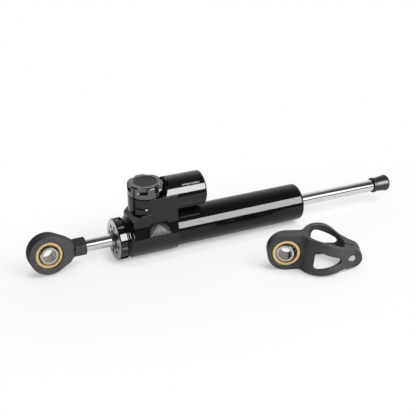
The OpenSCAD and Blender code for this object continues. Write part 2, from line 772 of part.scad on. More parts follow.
module adjuster_spindle() color(STEEL) difference() {
    union() {
        z_bar(knob_x, 0, collar_z0, spindle_z1, spindle_r);
        z_bar(knob_x, 0, collar_z0, collar_z1, collar_r);
        z_bar(knob_x, 0, collar_z0 - stud_len, collar_z0 + cut, stud_r);
    }
    translate([knob_x, 0, spindle_o_ring_z]) z_groove(spindle_r, spindle_o_ring_depth);
}

module spindle_o_ring() color(RUBBER)
    translate([knob_x, 0, spindle_o_ring_z]) z_o_ring(spindle_r, spindle_o_ring_depth);

// Fluted knob, with a plain skirt below the flutes and a shallow dish on top
module knob() color(SATIN) difference() {
    translate([knob_x, 0, knob_z0]) rotate_extrude()
        polygon([[0, 0], [knob_r - knob_edge / 2, 0], [knob_r, knob_edge / 2], [knob_r, knob_h - knob_edge],
                 [knob_r - knob_edge, knob_h], [knob_r - dish_wall, knob_h],
                 [knob_r - dish_wall - dish_depth, knob_h - dish_depth], [0, knob_h - dish_depth]]);
    for (turn = [0 : knob_flutes - 1]) translate([knob_x, 0, 0]) rotate(turn * 360 / knob_flutes)
        z_bar(knob_r + flute_r - flute_depth, 0, knob_z0 + knob_skirt, knob_z1 + cut, flute_r);
    z_bar(knob_x, 0, knob_z0 - cut, boss_z1 + housing_flange_t + free_gap, housing_flange_r + free_gap);
    z_bar(knob_x, 0, knob_z0, spindle_z1 + seat_gap, spindle_r + seat_gap);
    y_bar(knob_x, grub_z, 0, knob_d, grub_d / 2 + seat_gap);
}

module knob_grub_screw() color(STEEL) difference() {
    y_bar(knob_x, grub_z, spindle_r + seat_gap, spindle_r + grub_len, grub_d / 2);
    translate([knob_x, spindle_r + grub_len + cut, grub_z]) rotate([90, 0, 0])
        cylinder(h = grub_len / 2 + cut, r = grub_socket_af / sqrt(3), $fn = 6);
}

// Rod, with grooves for the clips that hold the piston
module rod() color(CHROME) difference() {
    x_chamfered(rod_x0, rod_x1, rod_r, rod_chamfer);
    for (x0 = [piston_x0 - piston_clip_t, piston_x1])
        x_groove(x0, x0 + piston_clip_t, rod_r, rod_r - piston_clip_depth);
}

module piston() color(GREY) difference() {
    x_chamfered(piston_x0, piston_x1, piston_r, edge_chamfer);
    x_bar(piston_x0 - cut, piston_x1 + cut, rod_r + seat_gap);
    x_groove(piston_mid() - ring_w / 2 - ring_gap, piston_mid() + ring_w / 2 + ring_gap,
             piston_r, ring_in_r - 2 * ring_gap);
}

function piston_mid() = (piston_x0 + piston_x1) / 2;

module piston_ring() color(PTFE)
    x_ring(piston_mid() - ring_w / 2, piston_mid() + ring_w / 2, sleeve_r - running_gap, ring_in_r);

module piston_clips() color(STEEL) for (x0 = [piston_x0 - piston_clip_t, piston_x1])
    difference() {
        x_ring(x0 + seat_gap, x0 + piston_clip_t - seat_gap,
               rod_r + piston_clip_h, rod_r - piston_clip_depth + seat_gap);
        translate([x0 - cut, -rod_r / 2, -2 * rod_d]) cube([piston_clip_t + 2 * cut, rod_r, 2 * rod_d]);
    }

// Hexagonal nut whose far corners are turned off
module lock_nut() color(SATIN) difference() {
    intersection() {
        translate([nut_x0, 0, 0]) rotate([0, 90, 0]) cylinder(h = nut_len, r = nut_af / sqrt(3), $fn = 6);
        x_chamfered(nut_x0, nut_x1, nut_af / sqrt(3), nut_af / sqrt(3) - nut_af / 2);
    }
    x_bar(nut_x0 - cut, nut_x1 + cut, rod_r + seat_gap);
}

// Flat eye whose neck narrows to the lock nut, turned down to a cone near the nut
module rod_eye() color(SATIN) rotate([-eye_roll, 0, 0]) difference() {
    intersection() {
        union() {
            y_bar(0, 0, -eye_w / 2, eye_w / 2, eye_r);
            y_plate(eye_w) linear_extrude(eye_w) eye_neck();
        }
        translate([-eye_d, 0, 0]) rotate([0, 90, 0])
            cylinder(h = nut_x0 + eye_d, r1 = neck_d / 2 + eye_cone * (nut_x0 + eye_d), r2 = neck_d / 2);
    }
    y_bar(0, 0, -eye_w, eye_w, race_r + seat_gap);
    x_bar(rod_x0 - seat_gap, nut_x0 + cut, rod_r + seat_gap);
}

// Sides that touch the eye's rim and end at the lock nut
module eye_neck() {
    nut_corner = [nut_x0, neck_d / 2];
    rim = rim_touch([0, 0], eye_r, nut_corner, 1);
    polygon([[0, 0], rim, nut_corner, [nut_corner.x, -nut_corner.y], [rim.x, -rim.y]]);
}

module rod_race() rotate([-eye_roll, 0, 0]) race();
module rod_liner() rotate([-eye_roll, 0, 0]) liner();
module rod_ball() rotate([-eye_roll, 0, 0]) ball();

// Rubber cap pushed on the rod: a lip, a waist, a flare and a domed end
module rubber_cap() color(RUBBER) difference() {
    translate([cap_x0, 0, 0]) rotate([0, 90, 0]) rotate_extrude() polygon(concat(
        [[0, 0], [cap_lip_r - cap_lip / 4, 0], [cap_lip_r, cap_lip / 4], [cap_lip_r, cap_lip]],
        [for (t = [0 : 0.125 : 1]) [cap_waist_r(t), cap_lip + t * (cap_len - cap_lip - cap_dome)]],
        [for (a = [15 : 15 : 90])
            [cap_d / 2 - cap_dome * (1 - cos(a)), cap_len - cap_dome * (1 - sin(a))]],
        [[0, cap_len]]
    ));
    x_bar(cap_x0 - cut, rod_x1 + seat_gap, rod_r + seat_gap);
}

// Radius of the cap along its flare, narrowest just behind the lip
function cap_waist_r(t) = cap_waist_d / 2 + (cap_d - cap_waist_d) / 2 * pow(t, 1.6);

// Split clamp for the tube: its plan along the tube's axis, cut to its outline seen from the side
module clamp_body() color(SATIN) in_clamp() difference() {
    intersection() {
        translate([0, 0, -clamp_eye_d]) clamp_plan(2 * clamp_eye_d);
        y_plate(4 * clamp_band_r) clamp_outline(4 * clamp_band_r);
    }
    z_bar(clamp_reach, 0, -clamp_eye_d, clamp_eye_d, clamp_bore_r);
    y_bar(0, 0, -clamp_band_r, clamp_band_r, race_r + seat_gap);
    translate([0, -clamp_band_r, window_rise_near]) y_plate(2 * clamp_band_r) clamp_window(2 * clamp_band_r);
    translate([0, clamp_band_r, window_rise_far]) y_plate(2 * clamp_band_r) clamp_window(2 * clamp_band_r);
    translate([clamp_reach, -clamp_slit / 2, -clamp_eye_d])
        cube([clamp_screw_reach + 2 * clamp_lug_r, clamp_slit, 2 * clamp_eye_d]);
    y_bar(clamp_screw_x, 0, -clamp_band_r, clamp_band_r, clamp_screw_d / 2 + seat_gap);
    y_bar(clamp_screw_x, 0, clamp_lug_half_w - screw_head_depth, clamp_band_r, screw_head_d / 2 + seat_gap);
}

module clamp_plan(h) union() {
    translate([-clamp_eye_d, -clamp_eye_w / 2, 0]) cube([clamp_eye_d + clamp_reach, clamp_eye_w, h]);
    link_plate([clamp_reach, 0], clamp_band_r, [clamp_screw_x, 0], clamp_lug_half_w, h);
    translate([clamp_screw_x, -clamp_lug_half_w, 0]) cube([2 * clamp_lug_r, 2 * clamp_lug_half_w, h]);
    for (side = [0, 1]) mirror([0, side, 0]) linear_extrude(h) clamp_plan_fillet();
}

module clamp_plan_fillet() difference() {
    polygon([
        [clamp_fillet_x, 0], [clamp_fillet_x, clamp_eye_w / 2],
        [clamp_reach, 0] + [clamp_fillet_x - clamp_reach, clamp_fillet_y]
            * clamp_band_r / (clamp_band_r + clamp_fillet),
        [clamp_reach, 0]
    ]);
    translate([clamp_fillet_x, clamp_fillet_y]) circle(r = clamp_fillet);
}

// Round eye and round lug, joined by sides that fall away from the band towards the lug
module clamp_outline(w) union() {
    top = [for (i = [0 : clamp_side_steps]) let (t = i / clamp_side_steps) [
        clamp_top_x0 + (clamp_top_x1 - clamp_top_x0) * t,
        clamp_top_z - (clamp_top_z - clamp_top_neck) * (1 - cos(180 * pow(t, 1.8))) / 2
    ]];
    foot = [for (i = [clamp_side_steps : -1 : 0]) let (t = i / clamp_side_steps) [
        clamp_foot_x0 + (clamp_foot_x1 - clamp_foot_x0) * t,
        (clamp_foot_z - clamp_foot_neck) * pow(t, 1.35) - clamp_foot_z
    ]];
    eye_top = rim_touch([0, 0], clamp_eye_r, top[0], 1);
    eye_foot = rim_touch([0, 0], clamp_eye_r, [clamp_foot_x0, clamp_foot_z], 1);
    cylinder(h = w, r = clamp_eye_r);
    z_bar(clamp_screw_x, 0, 0, w, clamp_lug_r);
    linear_extrude(w) polygon(concat(
        [eye_top], top, [[clamp_screw_x, clamp_lug_r - 0.2], [clamp_screw_x, -clamp_foot_neck]],
        foot, [[eye_foot.x, -eye_foot.y]]
    ));
}

// Window in one side of the band, blunt towards the eye and drawn out towards the screw
module clamp_window(w) {
    corner = [window_x0 + window_corner, window_h / 2 - window_corner];
    tip = [window_x1 - window_tip, 0];
    lean = atan2(tip.y - corner.y, tip.x - corner.x)
        + acos((window_corner - window_tip) / norm(tip - corner));
    blunt = [for (i = [0 : window_steps])
        corner + window_corner * polar(lean + (180 - lean) * i / window_steps)];
    linear_extrude(w) polygon(concat(
        blunt,
        [for (i = [window_steps : -1 : 0]) [blunt[i].x, -blunt[i].y]],
        [for (i = [0 : window_steps]) tip + window_tip * polar(lean * (2 * i / window_steps - 1))]
    ));
}

module clamp_race() in_clamp() race();
module clamp_liner() in_clamp() liner();
module clamp_ball() in_clamp() rotate([0, 0, clamp_ball_tilt]) ball();

// Socket screw through both lugs, its head sunk in the far one
module clamp_screw() color(STEEL) in_clamp() difference() {
    union() {
        y_bar(clamp_screw_x, 0, -clamp_lug_half_w, clamp_lug_half_w, clamp_screw_d / 2);
        y_bar(clamp_screw_x, 0, clamp_lug_half_w - screw_head_depth, clamp_lug_half_w, screw_head_d / 2);
    }
    translate([clamp_screw_x, clamp_lug_half_w + cut, 0]) rotate([90, 0, 0])
        cylinder(h = screw_head_depth + cut, r = screw_socket_af / sqrt(3), $fn = 6);
}

valve_body();
damper_tube();
inner_sleeve();
front_gland();
front_bush();
front_rod_seal();
front_wiper();
gland_o_ring();
tube_o_ring();
rear_gland();
rear_bush();
rear_rod_seal();
rear_wiper();
rear_gland_o_ring();
rear_circlip();
reservoir_cap();
reservoir_cap_o_ring();
reservoir_circlip();
charge_screw();
floating_piston();
floating_piston_o_ring();
adjuster_housing();
housing_o_ring();
needle_guide_pin();
needle();
adjuster_spindle();
spindle_o_ring();
knob();
knob_grub_screw();
index_pin();
rod();
piston();
piston_ring();
piston_clips();
lock_nut();
rod_eye();
rod_race();
rod_liner();
rod_ball();
rubber_cap();
clamp_body();
clamp_race();
clamp_liner();
clamp_ball();
clamp_screw();
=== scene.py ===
import math
import bpy
from mathutils import Matrix, Vector


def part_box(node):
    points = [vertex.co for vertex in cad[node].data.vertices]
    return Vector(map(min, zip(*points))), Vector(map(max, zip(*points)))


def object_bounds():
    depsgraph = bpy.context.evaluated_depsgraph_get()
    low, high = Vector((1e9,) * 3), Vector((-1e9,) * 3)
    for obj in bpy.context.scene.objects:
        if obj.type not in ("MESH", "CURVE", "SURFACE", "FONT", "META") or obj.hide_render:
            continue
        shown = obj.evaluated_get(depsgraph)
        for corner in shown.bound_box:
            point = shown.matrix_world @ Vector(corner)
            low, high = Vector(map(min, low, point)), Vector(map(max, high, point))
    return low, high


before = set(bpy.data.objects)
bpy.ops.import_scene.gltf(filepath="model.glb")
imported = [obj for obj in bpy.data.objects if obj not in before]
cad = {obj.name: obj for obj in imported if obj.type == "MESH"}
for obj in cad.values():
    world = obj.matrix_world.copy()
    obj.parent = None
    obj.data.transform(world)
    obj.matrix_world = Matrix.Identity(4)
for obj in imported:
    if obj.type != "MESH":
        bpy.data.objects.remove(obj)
cad_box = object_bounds()


# Valve body: one milled aluminium block that carries the tube, the needle valve and the gas reservoir.
# It is polished and then anodised deep black, and the cutter's edges are broken by hand.
# The slots and the scallops at the foot are finished afterwards. The scallops' upper corners are painted dark as
# shade, and a dark stroke beside the index pin is painted shade where a slot would be.
def wire(tree, node, inputs):
    """Sets a node's constants, and links what comes from other nodes."""
    for key, value in inputs.items():
        if isinstance(value, bpy.types.NodeSocket):
            tree.links.new(value, node.inputs[key])
        else:
            node.inputs[key].default_value = value


def add_node(tree, kind, inputs=None, **settings):
    """One shader node with its settings, its constants and its links."""
    node = tree.nodes.new(kind)
    for key, value in settings.items():
        setattr(node, key, value)
    wire(tree, node, inputs or {})
    return node


def maths(tree, operation, *values):
    """The result of one sum on numbers."""
    return add_node(tree, "ShaderNodeMath", dict(enumerate(values)), operation=operation).outputs[0]


def vectors(tree, operation, *values):
    """The result of one sum on points: a number for a length, a distance or a dot product, else a point."""
    node = add_node(tree, "ShaderNodeVectorMath", dict(enumerate(values)), operation=operation)
    return node.outputs["Value" if operation in ("LENGTH", "DISTANCE", "DOT_PRODUCT") else "Vector"]


def smooth(tree, value, start, end):
    """A mask that rises smoothly from none at start to full at end."""
    return add_node(tree, "ShaderNodeMapRange", {"Value": value, "From Min": start, "From Max": end},
                    interpolation_type="SMOOTHSTEP").outputs[0]


def own_place(tree):
    """A point's place on the piece at rest, which stays with the piece when it moves."""
    return add_node(tree, "ShaderNodeTexCoord").outputs["Object"]


def new_group(name, takes, gives):
    """An empty shader group with named inputs and outputs."""
    group = bpy.data.node_groups.new(name, "ShaderNodeTree")
    for socket, start in takes.items():
        kind = "NodeSocketVector" if isinstance(start, tuple) else "NodeSocketFloat"
        group.interface.new_socket(name=socket, in_out="INPUT", socket_type=kind).default_value = start
    for socket, kind in gives.items():
        group.interface.new_socket(name=socket, in_out="OUTPUT", socket_type="NodeSocket" + kind)
    return group, group.nodes.new("NodeGroupInput").outputs, group.nodes.new("NodeGroupOutput")


def place(tree, group, **inputs):
    """Puts a shared group into a material with that material's own values."""
    return add_node(tree, "ShaderNodeGroup", inputs, node_tree=group).outputs


def opened(material):
    """A material's nodes and its Principled shader, ready to be wired."""
    return material.node_tree, material.node_tree.nodes["Principled BSDF"]


def new_finish(name):
    """A new material, with its nodes and its Principled shader."""
    material = bpy.data.materials.new(name)
    material.use_nodes = True
    return material, *opened(material)


def fed_by(shader, socket):
    """What a shader's socket is linked to, for a finish that is laid over another."""
    return shader.inputs[socket].links[0].from_socket


def dress(material, *names):
    """Gives CAD nodes their finish."""
    for name in names:
        slots = cad[name].data.materials
        slots.clear()
        slots.append(material)


def broken_edges():
    """Edges that a file has taken off: a rounded normal, and a mask of the bare rim."""
    group, takes, exit_node = new_group(
        "Broken edges", {"Radius": 0.0004, "Wear": 0.5}, {"Normal": "Vector", "Rim": "Float"})
    rounded = add_node(group, "ShaderNodeBevel", {"Radius": takes["Radius"]}, samples=6).outputs[0]
    plain = add_node(group, "ShaderNodeNewGeometry").outputs["Normal"]
    rim = smooth(group, vectors(group, "DOT_PRODUCT", rounded, plain), start=0.995, end=0.80)
    patchy = add_node(group, "ShaderNodeTexNoise", {"Vector": own_place(group), "Scale": 420.0, "Detail": 3.0})
    worn = maths(group, "MULTIPLY", rim, smooth(group, patchy.outputs[0], start=0.38, end=0.62))
    wire(group, exit_node, {"Normal": rounded, "Rim": maths(group, "MULTIPLY", worn, takes["Wear"])})
    return group


def skin_grain():
    """The fine, even tooth of an anodised, blasted or moulded skin, and its slow change of tone."""
    group, takes, exit_node = new_group(
        "Skin grain", {"Fineness": 1.0}, {"Height": "Float", "Tone": "Float"})
    scaled = add_node(group, "ShaderNodeVectorMath", {0: own_place(group), "Scale": takes["Fineness"]},
                      operation="SCALE").outputs[0]
    tooth = add_node(group, "ShaderNodeTexNoise", {
        "Vector": scaled, "Scale": 2600.0, "Detail": 2.0, "Roughness": 0.6})
    tone = add_node(group, "ShaderNodeTexNoise", {
        "Vector": scaled, "Scale": 95.0, "Detail": 4.0, "Roughness": 0.55})
    wire(group, exit_node, {"Height": tooth.outputs[0], "Tone": tone.outputs[0]})
    return group


def handling_film():
    """What hands leave on a finished part: broad faint smears and a few specks of dust."""
    group, takes, exit_node = new_group(
        "Handling film", {"Smear": 0.5, "Dust": 0.3}, {"Film": "Float", "Specks": "Float"})
    where = own_place(group)
    broad = add_node(group, "ShaderNodeTexNoise", {
        "Vector": where, "Scale": 48.0, "Detail": 5.0, "Roughness": 0.62, "Distortion": 0.9})
    motes = add_node(group, "ShaderNodeTexVoronoi", {
        "Vector": where, "Scale": 210.0, "Randomness": 1.0}, feature="F1")
    smears = smooth(group, broad.outputs[0], start=0.47, end=0.70)
    dots = smooth(group, motes.outputs["Distance"], start=0.055, end=0.02)
    wire(group, exit_node, {"Film": maths(group, "MULTIPLY", smears, takes["Smear"]),
                            "Specks": maths(group, "MULTIPLY", dots, takes["Dust"])})
    return group


EDGES, GRAIN, FILM = broken_edges(), skin_grain(), handling_film()


def over(tree, mask, under, colour):
    """Lays a colour over what is under it, where the mask is. Either one is plain or comes from a node."""
    under, colour = (paint if isinstance(paint, bpy.types.NodeSocket) else (*paint, 1) for paint in (under, colour))
    return add_node(tree, "ShaderNodeMix", {"Factor": mask, 6: under, 7: colour}, data_type="RGBA").outputs[2]


def between(tree, mask, low, high):
    """A number that goes from low to high with a mask."""
    return add_node(tree, "ShaderNodeMapRange", {"Value": mask, "To Min": low, "To Max": high}).outputs[0]


def mixed(tree, mask, under, value):
    """Puts a number in the place of another, where the mask is."""
    return add_node(tree, "ShaderNodeMix", {"Factor": mask, 2: under, 3: value}, data_type="FLOAT").outputs[0]


def bumped(tree, height, strength, distance, **normal):
    """A normal that follows a fine height."""
    return add_node(tree, "ShaderNodeBump", {
        "Height": height, "Strength": strength, "Distance": distance, **normal}).outputs[0]


def black_anodise(name, edge, polish, ior=1.47):
    """Deep black gloss anodise over polished aluminium."""
    material, tree, shader = new_finish(name)
    rim = place(tree, EDGES, Radius=edge, Wear=0.35)
    grain = place(tree, GRAIN, Fineness=1.0)
    film = place(tree, FILM, Smear=0.8, Dust=0.35)
    dyed = over(tree, grain["Tone"], (0.0035, 0.0035, 0.004), (0.008, 0.008, 0.009))
    worn = over(tree, rim["Rim"], dyed, (0.06, 0.06, 0.062))
    wire(tree, shader, {
        "Base Color": over(tree, film["Specks"], worn, (0.08, 0.08, 0.08)),
        "Roughness": between(tree, film["Film"], polish, polish + 0.06),
        "IOR": ior, "Normal": bumped(tree, grain["Height"], strength=0.03, distance=0.00002, Normal=rim["Normal"])})
    return material


def milled_places(material):
    """Where the finished skin was cut again: bare slots along the reservoir, and satin scallops at the foot
    with a fan of tool marks in each. The scallops' upper corners get painted shade, and a dark stroke of painted shade
    beside the index pin stands for a slot."""
    tree, shader = opened(material)
    where = own_place(tree)
    x, y, z = add_node(tree, "ShaderNodeSeparateXYZ", {0: where}).outputs

    def both(one, other):
        return maths(tree, "MULTIPLY", one, other)

    def near(value, middle, reach):
        return maths(tree, "COMPARE", value, middle, reach)

    cap_low, cap_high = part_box("reservoir_cap")
    cap_middle = (cap_low + cap_high) / 2
    reservoir_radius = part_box("valve_body")[1].z - cap_middle.z
    slot_radius, slot_half_depth = reservoir_radius - 0.0007, 0.0005
    slot_middle, slot_half_length = cap_middle.x - 0.0085, 0.0102
    off = vectors(tree, "SUBTRACT", where, tuple(cap_middle))
    from_axis = vectors(tree, "LENGTH", vectors(tree, "MULTIPLY", off, (0, 1, 1)))
    slots = both(near(from_axis, slot_radius, slot_half_depth), near(x, slot_middle, slot_half_length))

    knob_low, knob_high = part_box("knob")
    scallop_x, scallop_y, scallop_radius = (knob_low.x + knob_high.x) / 2 + 0.0058, 0.0219, 0.01095
    scallop_z, scallop_half_height = 0.0094, 0.0054
    on_plan = add_node(tree, "ShaderNodeCombineXYZ", {0: x, 1: maths(tree, "ABSOLUTE", y)}).outputs[0]
    reach = vectors(tree, "DISTANCE", on_plan, (scallop_x, scallop_y, 0.0))
    scallops = both(maths(tree, "LESS_THAN", reach, scallop_radius), near(z, scallop_z, scallop_half_height))

    fan_top, fan_half_angle = 0.0121, 0.86
    angle = maths(tree, "ARCTAN2", maths(tree, "SUBTRACT", x, scallop_x), maths(tree, "SUBTRACT", fan_top, z))
    fan = both(scallops, near(angle, 0.0, fan_half_angle))
    # Painted shade: the scallops' upper corners, outside the fan, are turned near black.
    shoulder_shade = maths(tree, "SUBTRACT", scallops, fan)

    pin_low, pin_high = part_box("index_pin")
    line_x, line_half_length = pin_low.x - 0.0030, 0.0026
    line_z, line_half_width = (pin_low.z + pin_high.z) / 2, 0.00055
    boss_y, boss_reach = -0.011, 0.004
    # Painted shade: a near black, matt stroke beside the index pin, where a slot's shade would fall.
    painted_slot_shade = both(near(x, line_x, line_half_length), both(near(z, line_z, line_half_width), near(y, boss_y, boss_reach)))

    marks = add_node(tree, "ShaderNodeTexNoise", {"Vector": where, "Scale": 1500.0}).outputs[0]
    rays = add_node(tree, "ShaderNodeTexNoise", {"W": angle, "Scale": 5.5, "Detail": 2.0},
                    noise_dimensions="1D").outputs[0]
    skin, rough, bare = fed_by(shader, "Base Color"), fed_by(shader, "Roughness"), 0.0
    for mask, pattern, smoothest, roughest in (
            (scallops, marks, 0.50, 0.60), (fan, rays, 0.16, 0.78), (slots, marks, 0.62, 0.66),
            (painted_slot_shade, marks, 0.85, 0.95)):
        rough = mixed(tree, mask, rough, between(tree, pattern, smoothest, roughest))
    # Painted shade: the stroke by the index pin and the scallops' upper corners are darkened; the slots are bare
    # metal.
    for mask, tone in ((slots, 0.18), (painted_slot_shade, 0.002), (shoulder_shade, 0.016)):
        skin = over(tree, mask, skin, (tone, tone, tone))
        bare = maths(tree, "MAXIMUM", bare, mask)
    wire(tree, shader, {"Base Color": skin, "Metallic": bare, "Roughness": rough})
    return material


dress(milled_places(black_anodise("Black block anodise", edge=0.00025, polish=0.075)), "valve_body")

# Damper tube: drawn aluminium, turned, polished round its axis and anodised with the block.
# It screws into the block's rear and is sealed by a ring in its spigot.
dress(black_anodise("Black tube anodise", edge=0.0006, polish=0.06, ior=1.36), "damper_tube")


# Inner sleeve: the cylinder that the piston runs in, a thin honed aluminium liner inside the tube.
# It is held between the two glands, and the gap round it lets oil pass to the valve.
def turned_lines():
    """Rings that a lathe tool leaves about the local Z axis, as a height and a tone."""
    group, takes, exit_node = new_group(
        "Turned lines", {"Point": (0.0, 0.0, 0.0), "Pitch": 0.0003}, {"Height": "Float", "Tone": "Float"})
    from_axis = vectors(group, "LENGTH", vectors(group, "MULTIPLY", takes["Point"], (1, 1, 0)))
    height = add_node(group, "ShaderNodeSeparateXYZ", {0: takes["Point"]}).outputs[2]
    turns = maths(group, "DIVIDE", maths(group, "ADD", from_axis, height), takes["Pitch"])
    lines = add_node(group, "ShaderNodeTexNoise", {"W": turns, "Scale": 1.0, "Detail": 3.0}, noise_dimensions="1D")
    slow = add_node(group, "ShaderNodeTexNoise", {"W": turns, "Scale": 0.13, "Detail": 1.0}, noise_dimensions="1D")
    wire(group, exit_node, {"Height": lines.outputs[0], "Tone": slow.outputs[0]})
    return group


TURNED = turned_lines()


def about_axis(tree, centre, axis):
    """A point's place on the piece, seen from an axis that becomes the local Z."""
    turn = Vector(axis).rotation_difference(Vector((0, 0, 1))).to_euler()
    return add_node(tree, "ShaderNodeMapping", {
        "Vector": vectors(tree, "SUBTRACT", own_place(tree), centre), "Rotation": tuple(turn)},
        vector_type="POINT").outputs[0]


def turned_metal(name, centre, axis, low, high, polish, pitch, edge=0.0003, cut=0.25):
    """Bare metal off the lathe, with the tool's rings in its shine."""
    material, tree, shader = new_finish(name)
    rim = place(tree, EDGES, Radius=edge, Wear=0.6)
    rings = place(tree, TURNED, Point=about_axis(tree, centre, axis), Pitch=pitch)
    film = place(tree, FILM, Smear=0.5, Dust=0.15)
    rubbed = tuple(min(1.0, part * 1.12) for part in high)
    wire(tree, shader, {
        "Base Color": over(tree, rim["Rim"], over(tree, rings["Tone"], low, high), rubbed), "Metallic": 1.0,
        "Roughness": between(tree, film["Film"], polish, polish + 0.10),
        "Normal": bumped(tree, rings["Height"], strength=cut, distance=0.00002, Normal=rim["Normal"])})
    return material


ROD_CENTRE, ROD_AXIS = (0, 0, 0), (1, 0, 0)
dress(turned_metal("Honed sleeve aluminium", ROD_CENTRE, ROD_AXIS, (0.60, 0.61, 0.62), (0.70, 0.71, 0.72),
                   polish=0.28, pitch=0.0003), "inner_sleeve")


# Front gland: the castellated screw cap that closes the head and guides the rod.
# It is turned and milled from bar, dyed black, and its end is skimmed bright afterwards.
# A pin key in the holes of that face does it up; a dark ring round each hole is painted shade.
def gland_finish():
    """Black anodise with a bare turned face, and a dark ring of painted shade round each hole."""
    material = black_anodise("Black gland anodise", edge=0.0003, polish=0.07, ior=1.50)
    tree, shader = opened(material)
    face_x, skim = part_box("front_gland")[0].x, 0.0002
    hole_circle, hole_shade_radius, holes = 0.01040, 0.0019, 8
    step = 2 * math.pi / holes
    first_hole = 0.22 * step
    where = own_place(tree)
    x, y, z = add_node(tree, "ShaderNodeSeparateXYZ", {0: where}).outputs
    from_axis = vectors(tree, "LENGTH", vectors(tree, "MULTIPLY", where, (0, 1, 1)))
    angle = maths(tree, "ARCTAN2", maths(tree, "MULTIPLY", y, -1.0), z)
    from_next = maths(tree, "WRAP", maths(tree, "SUBTRACT", angle, first_hole), step / 2, -step / 2)
    from_hole = add_node(tree, "ShaderNodeCombineXYZ", {
        0: maths(tree, "MULTIPLY", from_next, hole_circle), 1: maths(tree, "SUBTRACT", from_axis, hole_circle)})
    clear = maths(tree, "GREATER_THAN", vectors(tree, "LENGTH", from_hole.outputs[0]), hole_shade_radius)
    front = maths(tree, "LESS_THAN", x, face_x + skim)
    face = maths(tree, "MULTIPLY", front, clear)
    rings = place(tree, TURNED, Point=about_axis(tree, ROD_CENTRE, ROD_AXIS), Pitch=0.0004)
    bright = over(tree, rings["Tone"], (0.56, 0.56, 0.562), (0.66, 0.66, 0.662))
    # Painted shade: the face is made near black first, so a ring round each hole stays dark and the holes look wider
    # and deeper.
    hole_shade = over(tree, front, fed_by(shader, "Base Color"), (0.004, 0.004, 0.004))
    turned = between(tree, rings["Height"], 0.26, 0.36)
    wire(tree, shader, {
        "Base Color": over(tree, face, hole_shade, bright), "Metallic": front,
        "Roughness": mixed(tree, face, fed_by(shader, "Roughness"), turned)})
    return material


dress(gland_finish(), "front_gland")

# Rear gland: the turned plug that closes the tube round the rod's tail, left in bare aluminium.
# A spring clip behind it keeps it in the tube.
dress(turned_metal("Turned gland aluminium", ROD_CENTRE, ROD_AXIS, (0.56, 0.57, 0.58), (0.68, 0.69, 0.70),
                   polish=0.30, pitch=0.00035), "rear_gland")

# Rod bushes: two bronze guides pressed into the glands, which the rod slides in.
# They are sintered bronze, so the surface is slightly open and oily.
dress(turned_metal("Sintered bronze", ROD_CENTRE, ROD_AXIS, (0.42, 0.25, 0.12), (0.55, 0.35, 0.18),
                   polish=0.38, pitch=0.0004), "front_bush", "rear_bush")


# Seals, wipers and rings: moulded nitrile rubber, pushed into turned grooves with a film of oil.
# They never show a parting line once they are in place.
def moulded_rubber(name, low, high, polish, fineness):
    """Black moulded rubber with a fine matt tooth and a little chalky dust."""
    material, tree, shader = new_finish(name)
    rim = place(tree, EDGES, Radius=0.0005, Wear=0.3)
    grain = place(tree, GRAIN, Fineness=fineness)
    film = place(tree, FILM, Smear=0.6, Dust=0.9)
    tone = over(tree, grain["Tone"], low, high)
    wire(tree, shader, {
        "Base Color": over(tree, film["Specks"], tone, (0.16, 0.16, 0.155)), "IOR": 1.5,
        "Roughness": between(tree, film["Film"], polish, polish - 0.10),
        "Normal": bumped(tree, grain["Height"], strength=0.12, distance=0.00006, Normal=rim["Normal"])})
    return material


dress(moulded_rubber("Oiled seal rubber", (0.010, 0.010, 0.011), (0.020, 0.020, 0.021), polish=0.42, fineness=1.0),
      "front_rod_seal", "front_wiper", "gland_o_ring", "tube_o_ring", "rear_rod_seal", "rear_wiper",
      "rear_gland_o_ring", "reservoir_cap_o_ring", "floating_piston_o_ring", "housing_o_ring", "spindle_o_ring")


# Clips, pins and screws: hardened steel, ground or rolled, with a thin clear zinc coat.
# They snap or screw into place, so their edges carry small bright marks.
def zinc_steel(name, low, high, polish):
    """Steel with the slightly cloudy shine of clear zinc."""
    material, tree, shader = new_finish(name)
    rim = place(tree, EDGES, Radius=0.00025, Wear=0.8)
    grain = place(tree, GRAIN, Fineness=0.8)
    film = place(tree, FILM, Smear=0.7, Dust=0.2)
    tone = over(tree, grain["Tone"], low, high)
    wire(tree, shader, {
        "Base Color": over(tree, rim["Rim"], tone, (0.80, 0.80, 0.79)), "Metallic": 1.0,
        "Roughness": between(tree, film["Film"], polish, polish + 0.12),
        "Normal": bumped(tree, grain["Height"], strength=0.12, distance=0.00003, Normal=rim["Normal"])})
    return material


dress(zinc_steel("Spring clip steel", (0.30, 0.30, 0.30), (0.40, 0.40, 0.40), polish=0.30),
      "rear_circlip", "reservoir_circlip", "piston_clips")
dress(zinc_steel("Bright pin steel", (0.62, 0.62, 0.61), (0.72, 0.72, 0.71), polish=0.22),
      "charge_screw", "index_pin", "needle_guide_pin", "needle", "knob_grub_screw")

# Reservoir cap: a turned plug in the end of the gas reservoir, anodised black with the block.
# A spring clip holds it, and the small screw in its middle closes the charging hole.
dress(black_anodise("Black cap anodise", edge=0.0003, polish=0.10), "reservoir_cap")

# Floating piston: a light turned disc with a ring, which keeps the gas from the oil.
# It slides freely along the reservoir's bore.
RESERVOIR_CENTRE = (0, 0, 0.031)
dress(turned_metal("Turned disc aluminium", RESERVOIR_CENTRE, ROD_AXIS, (0.60, 0.61, 0.62), (0.72, 0.73, 0.74),
                   polish=0.26, pitch=0.0003), "floating_piston")

# Adjuster housing and spindle: turned steel parts under the knob, which carry the needle's thread.
# The housing screws into the block's boss.
KNOB_CENTRE, KNOB_AXIS = tuple((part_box("knob")[0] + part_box("knob")[1]) / 2), (0, 0, 1)
dress(turned_metal("Turned adjuster steel", KNOB_CENTRE, KNOB_AXIS, (0.45, 0.45, 0.45), (0.58, 0.58, 0.58),
                   polish=0.28, pitch=0.0003), "adjuster_housing", "adjuster_spindle")


